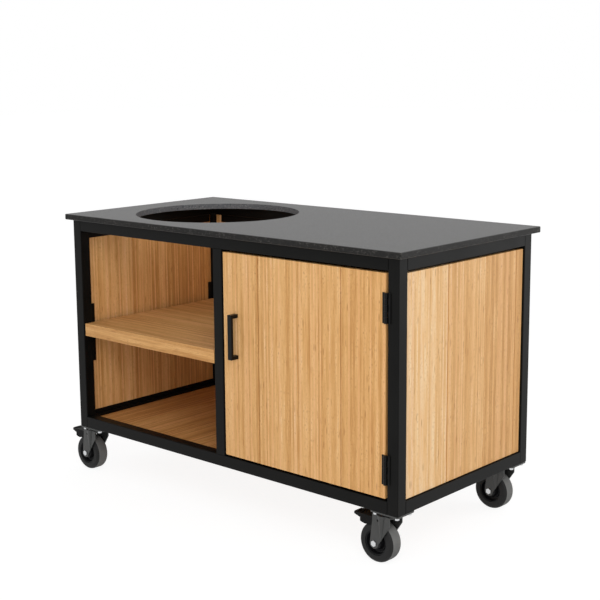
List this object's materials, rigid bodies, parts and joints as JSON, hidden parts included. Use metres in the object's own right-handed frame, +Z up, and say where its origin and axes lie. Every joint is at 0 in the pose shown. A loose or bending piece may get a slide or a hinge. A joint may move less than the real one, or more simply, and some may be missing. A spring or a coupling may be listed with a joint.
{
  "type": "kamado grill table",
  "caption": "Long garden table on braked swivel casters for a round ceramic grill: stone worktop with a round cut-out, steel tube frame, bamboo panels, grill shelf and hinged door.",
  "frame": {"origin": "the middle of the bounding box, on the floor under the wheels", "axes": "+X along the table from the grill end to the door end, +Y from the front to the back, +Z up"},
  "size_m": [1.5586, 0.752, 0.951],
  "materials": {
    "stone": "honed grey granite",
    "frame_steel": "black powder coat, satin",
    "bamboo": "oiled laminated bamboo",
    "black_steel": "black powder coat, satin",
    "caster_steel": "dark grey coated pressed steel",
    "wheel_plastic": "moulded, matt",
    "tyre_rubber": "smooth grey rubber",
    "zinc": "bright zinc plate"
  },
  "bodies": {
    "frame": {"caster_front_left_plate": "caster_steel", "caster_front_right_plate": "caster_steel", "caster_rear_left_plate": "caster_steel", "caster_rear_right_plate": "caster_steel", "floor_ledge_front": "frame_steel", "floor_ledge_rear": "frame_steel", "floor_panel": "bamboo", "hinge_lower_knuckles": "black_steel", "hinge_upper_knuckles": "black_steel", "panel_divider": "bamboo", "panel_left": "bamboo", "panel_rear_left": "bamboo", "panel_rear_right": "bamboo", "panel_right": "bamboo", "post_front_left": "frame_steel", "post_front_middle": "frame_steel", "post_front_right": "frame_steel", "post_rear_left": "frame_steel", "post_rear_middle": "frame_steel", "post_rear_right": "frame_steel", "rail_bottom_front": "frame_steel", "rail_bottom_left": "frame_steel", "rail_bottom_rear": "frame_steel", "rail_bottom_right": "frame_steel", "rail_top_front": "frame_steel", "rail_top_left": "frame_steel", "rail_top_middle": "frame_steel", "rail_top_rear": "frame_steel", "rail_top_right": "frame_steel", "shelf_board_front": "bamboo", "shelf_board_rear": "bamboo", "shelf_bracket_left": "frame_steel", "shelf_bracket_right": "frame_steel", "worktop": "stone"},
    "door": {"door_panel": "bamboo", "door_handle": "black_steel", "hinge_upper_leaf": "black_steel", "hinge_lower_leaf": "black_steel"},
    "fork_front_left": {"caster_front_left_fork": "caster_steel", "caster_front_left_axle": "zinc"},
    "wheel_front_left": {"caster_front_left_wheel": "wheel_plastic", "caster_front_left_tyre": "tyre_rubber"},
    "pedal_front_left": {"caster_front_left_pedal": "black_steel"},
    "fork_front_right": {"caster_front_right_fork": "caster_steel", "caster_front_right_axle": "zinc"},
    "wheel_front_right": {"caster_front_right_wheel": "wheel_plastic", "caster_front_right_tyre": "tyre_rubber"},
    "pedal_front_right": {"caster_front_right_pedal": "black_steel"},
    "fork_rear_left": {"caster_rear_left_fork": "caster_steel", "caster_rear_left_axle": "zinc"},
    "wheel_rear_left": {"caster_rear_left_wheel": "wheel_plastic", "caster_rear_left_tyre": "tyre_rubber"},
    "pedal_rear_left": {"caster_rear_left_pedal": "black_steel"},
    "fork_rear_right": {"caster_rear_right_fork": "caster_steel", "caster_rear_right_axle": "zinc"},
    "wheel_rear_right": {"caster_rear_right_wheel": "wheel_plastic", "caster_rear_right_tyre": "tyre_rubber"},
    "pedal_rear_right": {"caster_rear_right_pedal": "black_steel"}
  },
  "joints": [
    {"name": "door_hinge", "type": "hinge", "parent": "frame", "child": "door", "pos_m": [0.71575, -0.3495, 0.5495], "axis": [0, 0, 1], "range_deg": [0, 170]},
    {"name": "swivel_front_left", "type": "hinge", "parent": "frame", "child": "fork_front_left", "pos_m": [-0.64825, -0.3015, 0.1548], "axis": [0, 0, 1], "continuous": true},
    {"name": "roll_front_left", "type": "hinge", "parent": "fork_front_left", "child": "wheel_front_left", "pos_m": [-0.69125, -0.3015, 0.0625], "axis": [0, 1, 0], "continuous": true},
    {"name": "brake_front_left", "type": "hinge", "parent": "fork_front_left", "child": "pedal_front_left", "pos_m": [-0.67625, -0.3015, 0.138], "axis": [0, -1, 0], "range_deg": [0, 10]},
    {"name": "swivel_front_right", "type": "hinge", "parent": "frame", "child": "fork_front_right", "pos_m": [0.70675, -0.3015, 0.1548], "axis": [0, 0, 1], "continuous": true},
    {"name": "roll_front_right", "type": "hinge", "parent": "fork_front_right", "child": "wheel_front_right", "pos_m": [0.66375, -0.3015, 0.0625], "axis": [0, 1, 0], "continuous": true},
    {"name": "brake_front_right", "type": "hinge", "parent": "fork_front_right", "child": "pedal_front_right", "pos_m": [0.67875, -0.3015, 0.138], "axis": [0, -1, 0], "range_deg": [0, 10]},
    {"name": "swivel_rear_left", "type": "hinge", "parent": "frame", "child": "fork_rear_left", "pos_m": [-0.64825, 0.3135, 0.1548], "axis": [0, 0, 1], "continuous": true},
    {"name": "roll_rear_left", "type": "hinge", "parent": "fork_rear_left", "child": "wheel_rear_left", "pos_m": [-0.69125, 0.3135, 0.0625], "axis": [0, 1, 0], "continuous": true},
    {"name": "brake_rear_left", "type": "hinge", "parent": "fork_rear_left", "child": "pedal_rear_left", "pos_m": [-0.67625, 0.3135, 0.138], "axis": [0, -1, 0], "range_deg": [0, 10]},
    {"name": "swivel_rear_right", "type": "hinge", "parent": "frame", "child": "fork_rear_right", "pos_m": [0.70675, 0.3135, 0.1548], "axis": [0, 0, 1], "continuous": true},
    {"name": "roll_rear_right", "type": "hinge", "parent": "fork_rear_right", "child": "wheel_rear_right", "pos_m": [0.66375, 0.3135, 0.0625], "axis": [0, 1, 0], "continuous": true},
    {"name": "brake_rear_right", "type": "hinge", "parent": "fork_rear_right", "child": "pedal_rear_right", "pos_m": [0.67875, 0.3135, 0.138], "axis": [0, -1, 0], "range_deg": [0, 10]}
  ]
}
